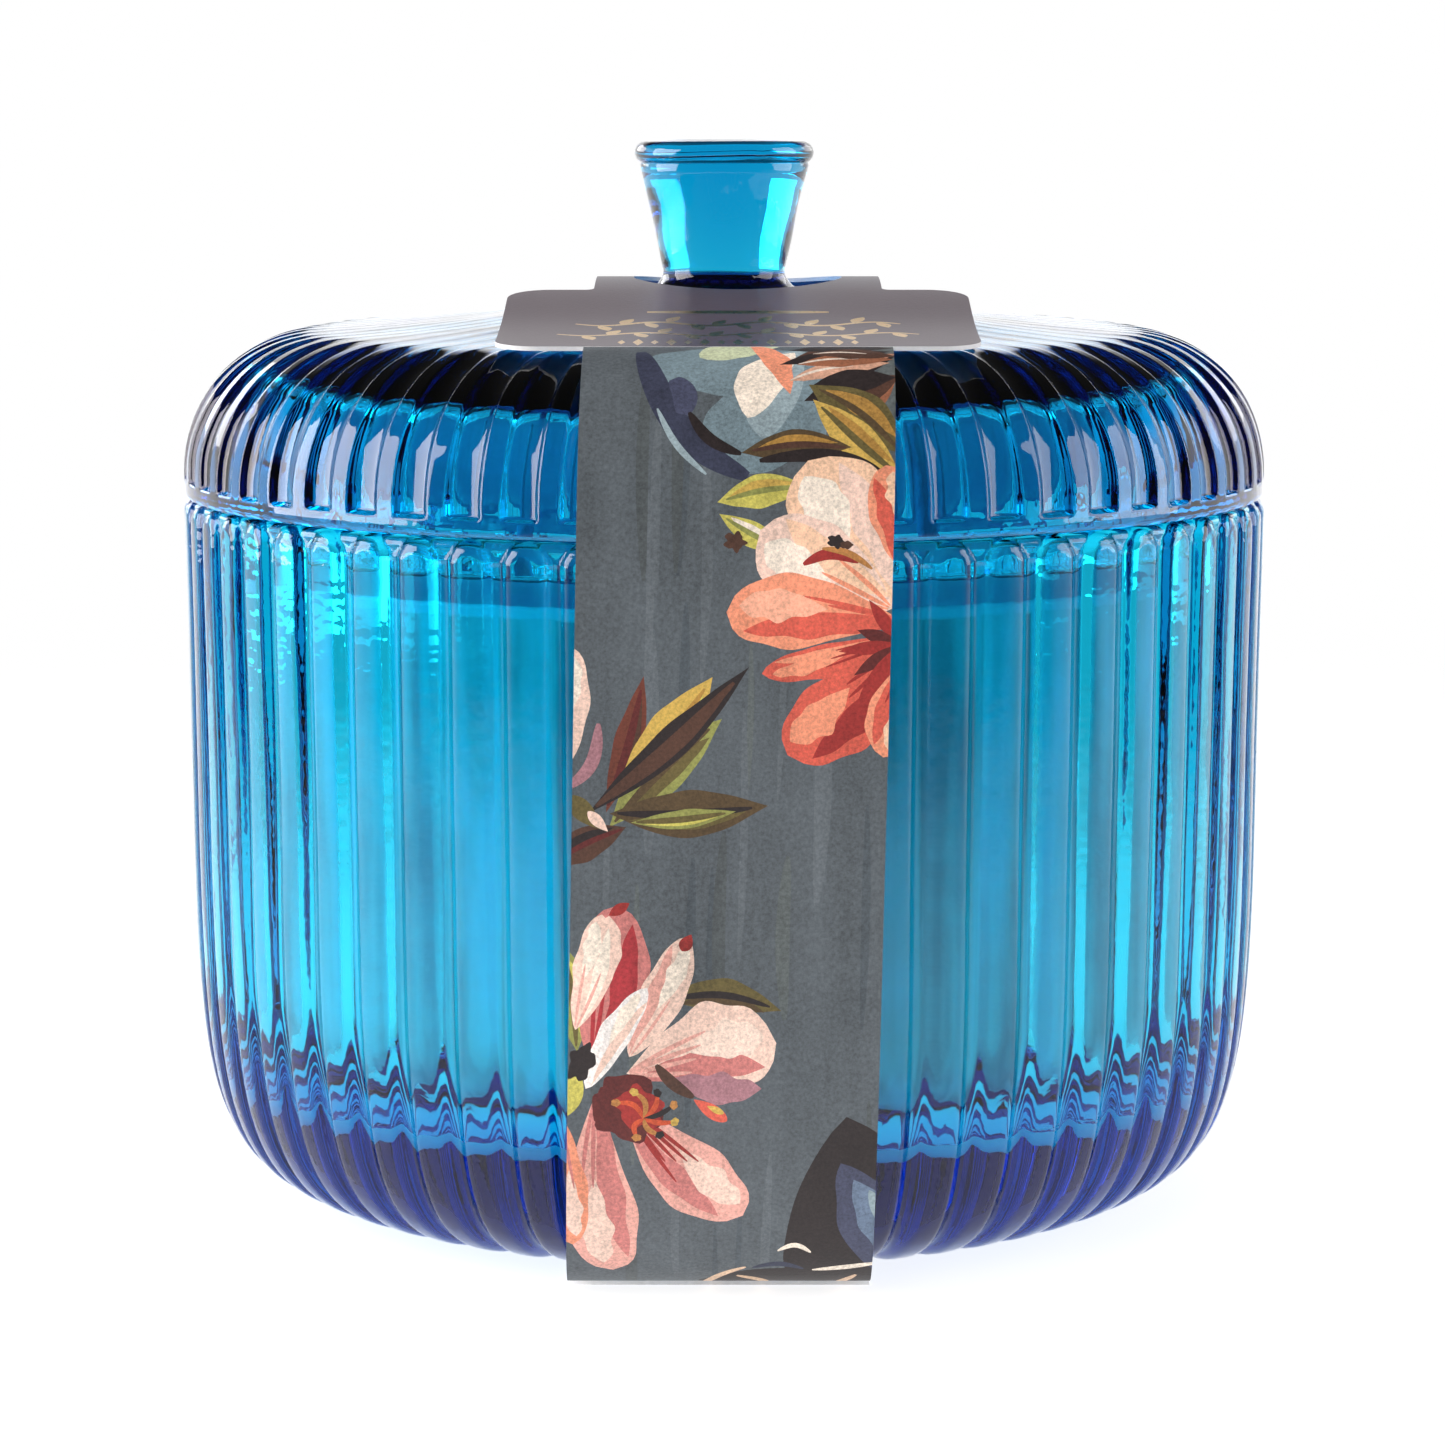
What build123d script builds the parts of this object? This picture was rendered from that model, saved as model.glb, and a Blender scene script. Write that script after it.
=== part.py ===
"""Lidded scented candle in a ribbed glass jar, held shut by a printed card wrap.

Millimetres, +Z up. The origin is the centre of the underside, on the table.
The wrap runs round the candle in the YZ plane: its front panel faces -Y.
"""
import math
import os

from build123d import *

os.makedirs("parts", exist_ok=True)

# ---------------------------------------------------------------- driving sizes
card = 0.4             # thickness of the wrap's card
card_gap = 0.3         # between the card and the glass
jar_r = 53.0           # outer radius at the rim
jar_h = 68.7           # height of the jar alone
wall = 5.0             # glass wall at the rim
wick_count = 3

# heights above the table
jar_base = card
rim_z = jar_base + jar_h
floor_z = jar_base + 11.6      # top of the thick glass base
wax_z = rim_z - 6.5
wick_top = wax_z + 7.0
above_rim = rim_z + 1          # where the cutter of the bore ends

# jar section
foot_r = 32.6                  # where the flat base turns up
foot_inner_r = 28.0
punt = 1.2                     # hollow under the base
side_r = 52.6                  # radius where the base curve meets the side
side_z = jar_base + 36.4
bore_r = jar_r - wall
bore_corner = 12.0
rim_round = 1.2
low_pull = (51.6, jar_base)            # the base curve leaves the foot towards this point
high_pull = (52.4, jar_base + 8.6)     # and comes into the side from this one

# lid section
seat_z = rim_z + 0.1
lid_r = 52.9
shoulder = 13.4                # radius of the rounded shoulder
band_z = seat_z + 2.5          # top of the plain band round the lid's edge
crown_slope = 5.0              # degrees, where the shoulder meets the crown
crown_mid = (24.0, 86.5)
crown_top = (8.4, 88.9)
flange_r = bore_r - 0.6        # the ring that drops inside the rim
flange_inner_r = 44.3
flange_drop = 4.0
flange_round = 0.8
under_mid_z = 83.5             # underside of the crown, at the middle
under_edge = (42.9, 78.6)      # and where it turns down into the ring
under_turn = (43.9, 78.2)
under_end_z = 77.2

# knob on the lid
neck_root = (6.6, 89.45)
neck_r = 5.93
neck_z = 90.8
cone_r = 8.45
cone_z = 101.3
bead_r = 8.65
bead_h = 1.1                   # from the cone to the bead's widest point
dish_r = bead_r - 1.0          # the knob's top is dished inside this radius
dish_drop = 0.4
knob_top = 103.4

# wick sets and the sticker under the jar
wick_r = 1.15
wick_ring = 22.0
pad_r = 9.0
pad_t = 0.6
disc_r = 10.0
disc_t = 0.3
neck_tube_r = 2.2
neck_tube_h = 3.0
sticker_r = foot_inner_r - 4
sticker_t = 0.15

# card wrap
strip_w = 27.6                 # width of the band that goes round the candle
label_w = 43.8                 # width across the wings of the top label
label_corner = 4.0
crease_y = 40.5                # front and back creases of the top label
wing_back_y = -10.4            # where the wings end, in front of the knob
knob_hole_r = 9.2
fold_y = 42.2                  # creases under the base
crease_slit = 0.3              # parts one panel from the next at a crease
hump_y = 10.0                  # the label rises over the knob's root inside this
hump_rise = 0.5
hump_foot = -0.2
low_bend = (51.2, jar_base + 1.6)      # shape of the wrap round the jar's base corner
low_bend_reach = 24.0
tall = 200.0                   # long enough to cut through everything

# shoulder arc of the lid, from its edge up to the crown
arc_y = lid_r - shoulder
arc_sweep = 90 - crown_slope
arc_end = (
    arc_y + shoulder * math.cos(math.radians(arc_sweep)),
    band_z + shoulder * math.sin(math.radians(arc_sweep)),
)


def save(piece, name):
    piece.part.label = name
    export_step(piece.part, f"parts/{name}.step")


# ---------------------------------------------------------------- jar and wax
with BuildSketch(Plane.XZ) as bore_section:
    with BuildLine():
        Polyline(
            (bore_r - bore_corner, floor_z), (0, floor_z), (0, above_rim),
            (bore_r, above_rim), (bore_r, floor_z + bore_corner),
        )
        RadiusArc((bore_r, floor_z + bore_corner), (bore_r - bore_corner, floor_z), bore_corner)
    make_face()

with BuildPart() as jar:
    with BuildSketch(Plane.XZ):
        with BuildLine():
            Polyline(
                (side_r, side_z), (jar_r, rim_z), (0, rim_z), (0, jar_base + punt),
                (foot_inner_r - 2 * punt, jar_base + punt), (foot_inner_r, jar_base), (foot_r, jar_base),
            )
            Bezier((foot_r, jar_base), low_pull, high_pull, (side_r, side_z))
        make_face()
    revolve(axis=Axis.Z)
    revolve(bore_section.sketch, axis=Axis.Z, mode=Mode.SUBTRACT)
    fillet(jar.edges().group_by(Axis.Z)[-1], rim_round)
save(jar, "jar")

with BuildPart() as wax:
    revolve(bore_section.sketch, axis=Axis.Z)
    split(bisect_by=Plane.XY.offset(wax_z), keep=Keep.BOTTOM)
    with PolarLocations(wick_ring, wick_count, start_angle=90):
        Cylinder(wick_r, tall, mode=Mode.SUBTRACT)
    with BuildSketch(Plane.XY.offset(floor_z)):
        with PolarLocations(wick_ring, wick_count, start_angle=90):
            Circle(pad_r)
    extrude(amount=pad_t, mode=Mode.SUBTRACT)
    with BuildSketch(Plane.XY.offset(floor_z + pad_t)):
        with PolarLocations(wick_ring, wick_count, start_angle=90):
            Circle(disc_r)
    extrude(amount=disc_t, mode=Mode.SUBTRACT)
    with BuildSketch(Plane.XY.offset(floor_z + pad_t + disc_t)):
        with PolarLocations(wick_ring, wick_count, start_angle=90):
            Circle(neck_tube_r)
    extrude(amount=neck_tube_h, mode=Mode.SUBTRACT)
save(wax, "wax")

# ---------------------------------------------------------------- wick sets
wick_places = PolarLocations(wick_ring, wick_count, start_angle=90).locations
for number, place in enumerate(wick_places, start=1):
    x, y = place.position.X, place.position.Y

    with BuildPart() as pad:
        with BuildSketch(Plane.XY.offset(floor_z)):
            with Locations((x, y)):
                Circle(pad_r)
        extrude(amount=pad_t)
    save(pad, f"wick_pad_{number}")

    with BuildPart() as sustainer:
        with BuildSketch(Plane.XY.offset(floor_z + pad_t)):
            with Locations((x, y)):
                Circle(disc_r)
        extrude(amount=disc_t)
        with BuildSketch(Plane.XY.offset(floor_z + pad_t + disc_t)):
            with Locations((x, y)):
                Circle(neck_tube_r)
        extrude(amount=neck_tube_h)
        with BuildSketch(Plane.XY.offset(floor_z + pad_t)):
            with Locations((x, y)):
                Circle(wick_r)
        extrude(amount=disc_t + neck_tube_h, mode=Mode.SUBTRACT)
    save(sustainer, f"wick_sustainer_{number}")

    with BuildPart() as wick:
        with BuildSketch(Plane.XY.offset(floor_z + pad_t)):
            with Locations((x, y)):
                Circle(wick_r)
        extrude(amount=wick_top - floor_z - pad_t)
    save(wick, f"wick_{number}")

# ---------------------------------------------------------------- base label
with BuildPart() as base_label:
    with BuildSketch(Plane.XY.offset(jar_base + punt)):
        Circle(sticker_r)
    extrude(amount=-sticker_t)
save(base_label, "base_label")

# ---------------------------------------------------------------- lid with its knob
with BuildPart() as lid:
    with BuildSketch(Plane.XZ):
        with BuildLine():
            Polyline(
                (flange_inner_r, under_end_z), (flange_inner_r, rim_z - flange_drop),
                (flange_r, rim_z - flange_drop), (flange_r, seat_z), (lid_r, seat_z), (lid_r, band_z),
            )
            CenterArc((arc_y, band_z), shoulder, 0, arc_sweep)
            ThreePointArc(arc_end, crown_mid, crown_top)
            ThreePointArc(crown_top, neck_root, (neck_r, neck_z))
            Line((neck_r, neck_z), (cone_r, cone_z))
            ThreePointArc((cone_r, cone_z), (bead_r, cone_z + bead_h), (dish_r, knob_top))
            Polyline((dish_r, knob_top), (0, knob_top - dish_drop), (0, under_mid_z), under_edge)
            ThreePointArc(under_edge, under_turn, (flange_inner_r, under_end_z))
        make_face()
    revolve(axis=Axis.Z)
    fillet(lid.edges().group_by(Axis.Z)[0], flange_round)
save(lid, "lid")

# ---------------------------------------------------------------- card wrap
# The label's section follows the lid's crown, a card gap above it.
label_lift = card_gap + card / 2
crown_edge_z = arc_end[1] + label_lift
label_top = crown_top[1] + label_lift
with BuildPart() as label_panel:
    with BuildSketch(Plane.YZ):
        with BuildLine():
            Spline(
                (-crease_y, crown_edge_z), (-crown_mid[0], crown_mid[1] + label_lift),
                (-hump_y, label_top + hump_foot), (0, label_top + hump_rise),
                (hump_y, label_top + hump_foot), (crown_mid[0], crown_mid[1] + label_lift),
                (crease_y, crown_edge_z),
            )
        trace(line_width=card)
    extrude(amount=label_w, both=True)
    with BuildSketch(Plane.XY):
        Rectangle(strip_w, 2 * crease_y)
        with BuildSketch(mode=Mode.PRIVATE) as wings:
            with Locations((0, (wing_back_y - crease_y) / 2)):
                RectangleRounded(label_w, wing_back_y + crease_y, label_corner)
        add(wings.sketch)
        Circle(knob_hole_r, mode=Mode.SUBTRACT)
    extrude(amount=tall, mode=Mode.INTERSECT)
save(label_panel, "label_panel")


def long_panel_line(side):
    """Draw the middle line of a long panel, from under the base corner up and over the shoulder."""
    reach = shoulder + card_gap + card / 2
    start = math.degrees(math.acos((crease_y + crease_slit - arc_y) / reach))
    side_y = arc_y + reach
    low_y = side_r + card_gap + card / 2
    Bezier(
        (side * (fold_y + crease_slit), jar_base + card * 0.9), (side * low_bend[0], low_bend[1]),
        (side * low_y, side_z - low_bend_reach), (side * low_y, side_z),
    )
    Line((side * low_y, side_z), (side * side_y, band_z))
    if side > 0:
        CenterArc((arc_y, band_z), reach, 0, start)
    else:
        CenterArc((-arc_y, band_z), reach, 180, -start)


def long_panel(side, name):
    with BuildPart() as panel:
        with BuildSketch(Plane.YZ):
            with BuildLine():
                long_panel_line(side)
            trace(line_width=card)
        extrude(amount=strip_w / 2, both=True)
    save(panel, name)


long_panel(-1, "front_panel")
long_panel(1, "back_panel")

with BuildPart() as base_panel:
    with BuildSketch(Plane.XY):
        Rectangle(strip_w, 2 * fold_y)
    extrude(amount=card)
save(base_panel, "base_panel")
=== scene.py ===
"""Lidded scented candle: ribbed blue glass jar and lid, pale wax, and a printed card wrap.

Lengths in the mesh code are millimetres, in the CAD frame, and are scaled by MM when a mesh is made.
Angles round the candle start at -Y, the front, and grow towards +X.
"""
import math
import random

import bmesh
import bpy
import numpy as np
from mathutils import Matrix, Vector
from mathutils.geometry import delaunay_2d_cdt


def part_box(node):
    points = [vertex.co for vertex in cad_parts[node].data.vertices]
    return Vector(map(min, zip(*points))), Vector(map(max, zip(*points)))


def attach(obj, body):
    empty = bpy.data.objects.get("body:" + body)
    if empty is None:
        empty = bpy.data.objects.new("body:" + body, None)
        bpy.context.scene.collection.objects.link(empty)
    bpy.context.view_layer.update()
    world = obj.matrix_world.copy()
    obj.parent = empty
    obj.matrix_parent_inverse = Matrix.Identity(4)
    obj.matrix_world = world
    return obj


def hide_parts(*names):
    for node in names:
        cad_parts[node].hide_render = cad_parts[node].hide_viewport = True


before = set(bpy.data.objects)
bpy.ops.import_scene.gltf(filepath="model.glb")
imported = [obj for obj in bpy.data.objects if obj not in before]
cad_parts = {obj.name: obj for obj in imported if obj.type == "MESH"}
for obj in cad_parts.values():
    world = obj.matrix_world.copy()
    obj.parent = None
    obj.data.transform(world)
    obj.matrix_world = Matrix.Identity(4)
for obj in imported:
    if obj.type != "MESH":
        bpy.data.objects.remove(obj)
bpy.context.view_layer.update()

MM = 0.001
rng = random.Random(7)


# ---------------------------------------------------------------- sizes, from the frame
def low(node):
    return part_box(node)[0] / MM


def high(node):
    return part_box(node)[1] / MM


BASE_Z = low("jar").z
RIM_Z = high("jar").z
JAR_R = high("jar").x
SEAT_Z = RIM_Z + 0.1
LID_R = high("lid").x
KNOB_TOP = high("lid").z
WAX_Z = high("wax").z
FLOOR_Z = low("wax").z
BORE_R = high("wax").x
CARD = high("base_panel").z - low("base_panel").z
STRIP_W = high("base_panel").x - low("base_panel").x
LABEL_W = high("label_panel").x - low("label_panel").x

RIBS = 60
JAR_PHASE = math.radians(1.5)    # where the first groove stands
LID_PHASE = math.radians(1.1)


# ---------------------------------------------------------------- small helpers
def smooth(t):
    t = np.clip(t, 0, 1)
    return t * t * (3 - 2 * t)


def swell(t):
    """Rises quickly from 0 and levels off at 1, like the side of a round rib."""
    t = np.clip(t, 0, 1)
    return t * (2 - t)


def arc(centre, radius, start, end, count):
    """Points on an arc, angles in degrees from the r axis, ends included."""
    turns = np.radians(np.linspace(start, end, count))
    return [(centre[0] + radius * math.cos(a), centre[1] + radius * math.sin(a)) for a in turns]


def bezier(a, b, c, d, count):
    out = []
    for t in np.linspace(0, 1, count):
        w = ((1 - t) ** 3, 3 * t * (1 - t) ** 2, 3 * t * t * (1 - t), t ** 3)
        out.append(tuple(sum(k * p[i] for k, p in zip(w, (a, b, c, d))) for i in (0, 1)))
    return out


def line(a, b, count):
    return [tuple(np.array(a) + (np.array(b) - np.array(a)) * t) for t in np.linspace(0, 1, count)]


def arc_by(a, b, c, count):
    """Points on the arc from a to c through b, ends included."""
    ax, ay, bx, by, cx, cy = *a, *b, *c
    d = 2 * (ax * (by - cy) + bx * (cy - ay) + cx * (ay - by))
    aa, bb, cc = ax * ax + ay * ay, bx * bx + by * by, cx * cx + cy * cy
    ox = (aa * (by - cy) + bb * (cy - ay) + cc * (ay - by)) / d
    oy = (aa * (cx - bx) + bb * (ax - cx) + cc * (bx - ax)) / d
    start = math.degrees(math.atan2(ay - oy, ax - ox))
    middle = (math.degrees(math.atan2(by - oy, bx - ox)) - start + 180) % 360 - 180
    end = (math.degrees(math.atan2(cy - oy, cx - ox)) - start + 180) % 360 - 180
    if end * middle < 0:
        end += math.copysign(360, middle)
    return arc((ox, oy), math.hypot(ax - ox, ay - oy), start, start + end, count)


def outward(profile):
    """Unit normals of a profile that runs with its solid on the left."""
    points = np.array(profile, float)
    along = np.gradient(points, axis=0)
    along /= np.linalg.norm(along, axis=1)[:, None] + 1e-12
    return np.stack([along[:, 1], -along[:, 0]], axis=1)


class Shell:
    """A closed surface of rings round the Z axis. A ring may have a whole number of times fewer
    points than the one before it, or more."""

    def __init__(self):
        self.points, self.faces, self.last = [], [], None

    def ring(self, angles, r, z):
        angles = np.asarray(angles)
        r = np.broadcast_to(r, angles.shape)
        z = np.broadcast_to(z, angles.shape)
        start = len(self.points)
        self.points += list(zip(r * np.sin(angles), -r * np.cos(angles), z))
        new = (start, len(angles))
        if self.last:
            self.join(self.last, new)
        self.last = new

    def pole(self, z):
        """Closes the last ring onto the axis."""
        start, count = self.last
        self.points.append((0.0, 0.0, z))
        tip = len(self.points) - 1
        self.faces += [(start + i, start + (i + 1) % count, tip) for i in range(count)]
        self.last = None

    def begin(self, z, angles, r, ring_z):
        """Opens from the axis outward to a first ring."""
        self.points.append((0.0, 0.0, z))
        tip = len(self.points) - 1
        self.ring(angles, r, ring_z)
        start, count = self.last
        self.faces += [(tip, start + (i + 1) % count, start + i) for i in range(count)]

    def join(self, one, two):
        (a, n), (b, m) = one, two
        if n == m:
            self.faces += [(a + i, a + (i + 1) % n, b + (i + 1) % n, b + i) for i in range(n)]
            return
        fine, coarse, flip = (one, two, False) if n > m else (two, one, True)
        (a, n), (b, m) = fine, coarse
        step = n // m
        for j in range(m):
            here, there = b + j, b + (j + 1) % m
            for k in range(step):
                p, q = a + (j * step + k) % n, a + (j * step + k + 1) % n
                face = (p, q, here if k < step // 2 else there)
                self.faces.append(face[::-1] if flip else face)
                if k + 1 == step // 2:
                    face = (q, there, here)
                    self.faces.append(face[::-1] if flip else face)

    def mesh(self, name):
        return new_piece(name, np.array(self.points), self.faces)


def new_piece(name, points, faces):
    """A smooth-shaded mesh object from points in millimetres."""
    mesh = bpy.data.meshes.new(name)
    mesh.from_pydata((np.asarray(points) * MM).tolist(), [], faces)
    mesh.update()
    work = bmesh.new()
    work.from_mesh(mesh)
    bmesh.ops.recalc_face_normals(work, faces=work.faces)
    work.to_mesh(mesh)
    work.free()
    mesh.polygons.foreach_set("use_smooth", [True] * len(mesh.polygons))
    piece = bpy.data.objects.new(name, mesh)
    bpy.context.collection.objects.link(piece)
    return piece


def rib_angles(shares, phase):
    """Angles of one ring: the same places in each rib's pitch, given as shares of the pitch."""
    pitch = 2 * math.pi / RIBS
    return np.array([phase + (rib + share) * pitch for rib in range(RIBS) for share in shares])


def mirrored(half):
    """Shares of a whole pitch from those of its first half."""
    return half + [1 - s for s in reversed(half) if 0 < s < 0.5]


# ---------------------------------------------------------------- materials
class Nodes:
    """Short ways to build a node tree."""

    def __init__(self, tree):
        self.tree = tree

    def add(self, kind, **values):
        node = self.tree.nodes.new(kind)
        for key, value in values.items():
            setattr(node, key, value)
        return node

    def link(self, a, b):
        self.tree.links.new(a, b)

    def math(self, kind, a, b):
        node = self.add("ShaderNodeMath", operation=kind)
        for socket, value in zip(node.inputs, (a, b)):
            if isinstance(value, (int, float)):
                socket.default_value = value
            else:
                self.link(value, socket)
        return node.outputs[0]

    def step(self, value, start, end):
        """0 before start and 1 after end, with a smooth rise between them."""
        node = self.add("ShaderNodeMapRange", interpolation_type="SMOOTHSTEP")
        self.link(value, node.inputs["Value"])
        node.inputs["From Min"].default_value = start
        node.inputs["From Max"].default_value = end
        return node.outputs["Result"]

    def split(self, place):
        node = self.add("ShaderNodeSeparateXYZ")
        self.link(place, node.inputs[0])
        return node.outputs


class Material(Nodes):
    """One material and its Principled shader."""

    def __init__(self, name):
        self.material = bpy.data.materials.new(name)
        self.material.use_nodes = True
        super().__init__(self.material.node_tree)
        self.shader = self.tree.nodes["Principled BSDF"]
        self.out = self.tree.nodes["Material Output"]

    def set(self, **values):
        for key, value in values.items():
            self.shader.inputs[key.replace("_", " ")].default_value = value

    def place(self):
        return self.add("ShaderNodeTexCoord").outputs["Object"]

    def noise(self, scale, detail=2.0, rough=0.5, stretch=None):
        noise = self.add("ShaderNodeTexNoise")
        noise.inputs["Scale"].default_value = scale
        noise.inputs["Detail"].default_value = detail
        noise.inputs["Roughness"].default_value = rough
        place = self.place()
        if stretch:
            mapping = self.add("ShaderNodeMapping")
            mapping.inputs["Scale"].default_value = stretch
            self.link(place, mapping.inputs["Vector"])
            place = mapping.outputs["Vector"]
        self.link(place, noise.inputs["Vector"])
        return noise.outputs["Fac"]

    def tone(self, fac, stops, socket="Base Color"):
        """Picks a colour or a grey by a value, for a socket of the shader."""
        ramp = self.add("ShaderNodeValToRGB")
        elements = ramp.color_ramp.elements
        while len(elements) < len(stops):
            elements.new(0.5)
        for element, (position, colour) in zip(elements, stops):
            element.position = position
            element.color = (*colour, 1)
        self.link(fac, ramp.inputs["Fac"])
        self.link(ramp.outputs["Color"], self.shader.inputs[socket])

    def multiply(self, colour, value):
        node = self.add("ShaderNodeMix", data_type="RGBA", blend_type="MULTIPLY")
        sockets = {socket.name: socket for socket in node.inputs if socket.enabled}
        sockets["Factor"].default_value = 1.0
        self.link(colour, sockets["A"])
        self.link(value, sockets["B"])
        return [socket for socket in node.outputs if socket.enabled][0]

    def bump(self, height, distance):
        bump = self.add("ShaderNodeBump")
        bump.inputs["Distance"].default_value = distance
        self.link(height, bump.inputs["Height"])
        self.link(bump.outputs["Normal"], self.shader.inputs["Normal"])

    def clear_where(self, fac, tint=(1, 1, 1)):
        """Puts a clear, tinted shader in the place of the main one where fac is 1."""
        clear = self.add("ShaderNodeBsdfTransparent")
        clear.inputs["Color"].default_value = (*tint, 1)
        both = self.add("ShaderNodeMixShader")
        for socket, source in zip(both.inputs, (fac, self.shader.outputs[0], clear.outputs[0])):
            self.link(source, socket)
        self.link(both.outputs[0], self.out.inputs["Surface"])


GLASS_DENSITY = 400    # absorption per metre, times what each channel of the glass colour lacks


def glass_material(name, shadow_tint, wave, depth_colour):
    """Coloured pressed glass: clear at the skin, blue by depth, with a slight ripple."""
    n = Material(name)
    n.set(Base_Color=(1, 1, 1, 1), Transmission_Weight=1.0, IOR=1.5, Roughness=0.02)
    ripple = n.noise(120, 2.0, 0.5, (1, 1, 0.35))
    grain = n.noise(900, 1.0)
    n.bump(n.math("ADD", ripple, n.math("MULTIPLY", grain, 0.06)), wave)
    depth = n.add("ShaderNodeVolumeAbsorption")
    depth.inputs["Color"].default_value = (*depth_colour, 1)
    depth.inputs["Density"].default_value = GLASS_DENSITY
    n.link(depth.outputs["Volume"], n.out.inputs["Volume"])
    ray = n.add("ShaderNodeLightPath").outputs
    n.clear_where(n.math("MAXIMUM", ray["Is Shadow Ray"], ray["Is Diffuse Ray"]), shadow_tint)
    return n.material


def wax_material():
    """Pale wax with painted light and shade in upright streaks down its side, standing in for the light that
    the glass ribs focus onto it, and a clean top and bottom without them.
    """
    n = Material("scented_wax")
    # painted caustic light and shade: upright bright and dark streaks in the wax's colour, in place of light
    # focused by the ribbed glass
    streak = n.noise(330, 2.0, 0.55, (1, 1, 0.05))
    streak = n.math("ADD", streak, n.math("MULTIPLY", n.noise(60, 4.0, 0.6), 0.35))
    z = n.split(n.place())["Z"]
    top = n.step(z, (WAX_Z - 1.6) * MM, (WAX_Z - 0.4) * MM)
    bottom = n.step(z, (FLOOR_Z + 5.0) * MM, (FLOOR_Z + 1.5) * MM)
    cloud = n.math("ADD", n.math("MULTIPLY", n.noise(60, 4.0, 0.6), 0.2), 0.68)
    ends = n.math("MAXIMUM", top, n.math("MULTIPLY", bottom, 1.1))
    streak = n.math("MAXIMUM", streak, n.math("MULTIPLY", ends, cloud))
    # the ramp's dark end is painted shade between the streaks and its bright end is painted light along them
    n.tone(streak, [(0.52, (0.42, 0.42, 0.40)), (0.66, (0.78, 0.74, 0.64)), (0.82, (0.97, 0.95, 0.88))])
    n.set(Roughness=0.42, Subsurface_Weight=0.25, Subsurface_Scale=0.004, Subsurface_Radius=(1.0, 0.8, 0.55))
    n.bump(n.noise(450, 3.0, 0.6), 0.00015)
    return n.material


def cotton_material():
    n = Material("wick_cotton")
    fibre = n.noise(2600, 3.0, 0.6, (1, 1, 0.25))
    n.tone(fibre, [(0.3, (0.78, 0.74, 0.64)), (0.7, (0.95, 0.93, 0.87))])
    n.set(Roughness=0.85, Sheen_Weight=0.3)
    n.bump(fibre, 0.0001)
    return n.material


def tin_material():
    n = Material("sustainer_tin")
    scratch = n.noise(700, 3.0, 0.6, (1, 0.15, 1))
    n.tone(scratch, [(0.3, (0.55, 0.55, 0.56)), (0.7, (0.78, 0.78, 0.78))])
    n.set(Metallic=1.0)
    n.tone(scratch, [(0.2, (0.28,) * 3), (0.8, (0.45,) * 3)], "Roughness")
    return n.material


def pad_material():
    n = Material("adhesive_pad")
    speck = n.noise(900, 3.0, 0.6)
    n.tone(speck, [(0.3, (0.70, 0.70, 0.68)), (0.7, (0.86, 0.86, 0.84))])
    n.set(Roughness=0.75)
    n.bump(speck, 0.00005)
    return n.material


def paper_material(name, dark, light, gloss):
    n = Material(name)
    fibre = n.noise(1500, 4.0, 0.65)
    n.tone(fibre, [(0.3, dark), (0.7, light)])
    n.set(Roughness=gloss)
    n.bump(fibre, 0.00003)
    return n.material


def printed_material(name, grain, gloss):
    """Ink from the mesh's own colours, broken up by a fine canvas grain."""
    n = Material(name)
    ink = n.add("ShaderNodeVertexColor", layer_name="ink").outputs["Color"]
    fine = n.noise(3200, 2.0, 0.7)
    streak = n.noise(420, 4.0, 0.6, (1, 1, 0.12))
    cloud = n.noise(90, 3.0, 0.6)
    tone = n.math("ADD", n.math("MULTIPLY", fine, grain), n.math("MULTIPLY", streak, grain * 0.5))
    tone = n.math("ADD", tone, n.math("MULTIPLY", cloud, grain * 0.5))
    tone = n.math("ADD", tone, 1 - grain)
    n.link(n.multiply(ink, tone), n.shader.inputs["Base Color"])
    n.set(Roughness=gloss)
    n.bump(fine, 0.00003)
    return n.material


def foil_material():
    n = Material("gold_foil")
    flake = n.noise(1800, 3.0, 0.6)
    n.tone(flake, [(0.3, (0.62, 0.38, 0.14)), (0.7, (0.90, 0.62, 0.27))])
    n.set(Metallic=1.0)
    n.tone(flake, [(0.2, (0.22,) * 3), (0.8, (0.42,) * 3)], "Roughness")
    return n.material


# ---------------------------------------------------------------- jar
FOOT_R = 32.6
FOOT_INNER_R = 28.0
PUNT = 1.2
SIDE_R = 52.6
SIDE_Z = BASE_Z + 36.4
RIB_H = 0.85          # how far a rib stands out of the grooves
RIB_SHARE = 0.76      # of the pitch
RIB_EDGE = 0.95       # width of a rib's rounded side
RIB_TOP = 0.45        # from the rim down to the ends of the ribs
ARCH = 1.75           # corner radius of a rib's end
BORE_CORNER = 12.0

JAR_SHARES = mirrored([0.0, 0.06, 0.11, 0.135, 0.165, 0.2, 0.245, 0.31, 0.4, 0.5])


def rib_height(x, s, half):
    """Height of a rib as a share, at x from its middle line and s below the rim."""
    side = half - np.abs(x)
    end = s - RIB_TOP
    corner = ARCH - np.hypot(ARCH - side, ARCH - end)
    inside = np.where((side < ARCH) & (end < ARCH), corner, np.minimum(side, end))
    return swell((inside + 0.25) / (RIB_EDGE + 0.25))


def jar_side():
    """The jar's outer line between the grooves' floors, from the foot up to the rim."""
    rim_r = 0.9
    curve = bezier((FOOT_R, BASE_Z), (51.6, BASE_Z), (52.4, BASE_Z + 8.6), (SIDE_R, SIDE_Z), 30)
    below_rim = (22, 12, 6, 4, 3, 2.6, 2.4, 2.2, 2, 1.8, 1.6, 1.4, 1.25, 1.1, 0.98)
    tall = [(JAR_R - (JAR_R - SIDE_R) * s / (RIM_Z - SIDE_Z), RIM_Z - s) for s in below_rim]
    crest = curve + tall
    normal = outward(crest)
    fade = smooth((np.array(crest)[:, 0] - FOOT_R) / 6)
    inner = np.array(crest) - normal * (RIB_H * fade)[:, None]
    top = arc((JAR_R - RIB_H - rim_r, RIM_Z - rim_r), rim_r, 0, 90, 9)
    return np.vstack([inner, top])


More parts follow.
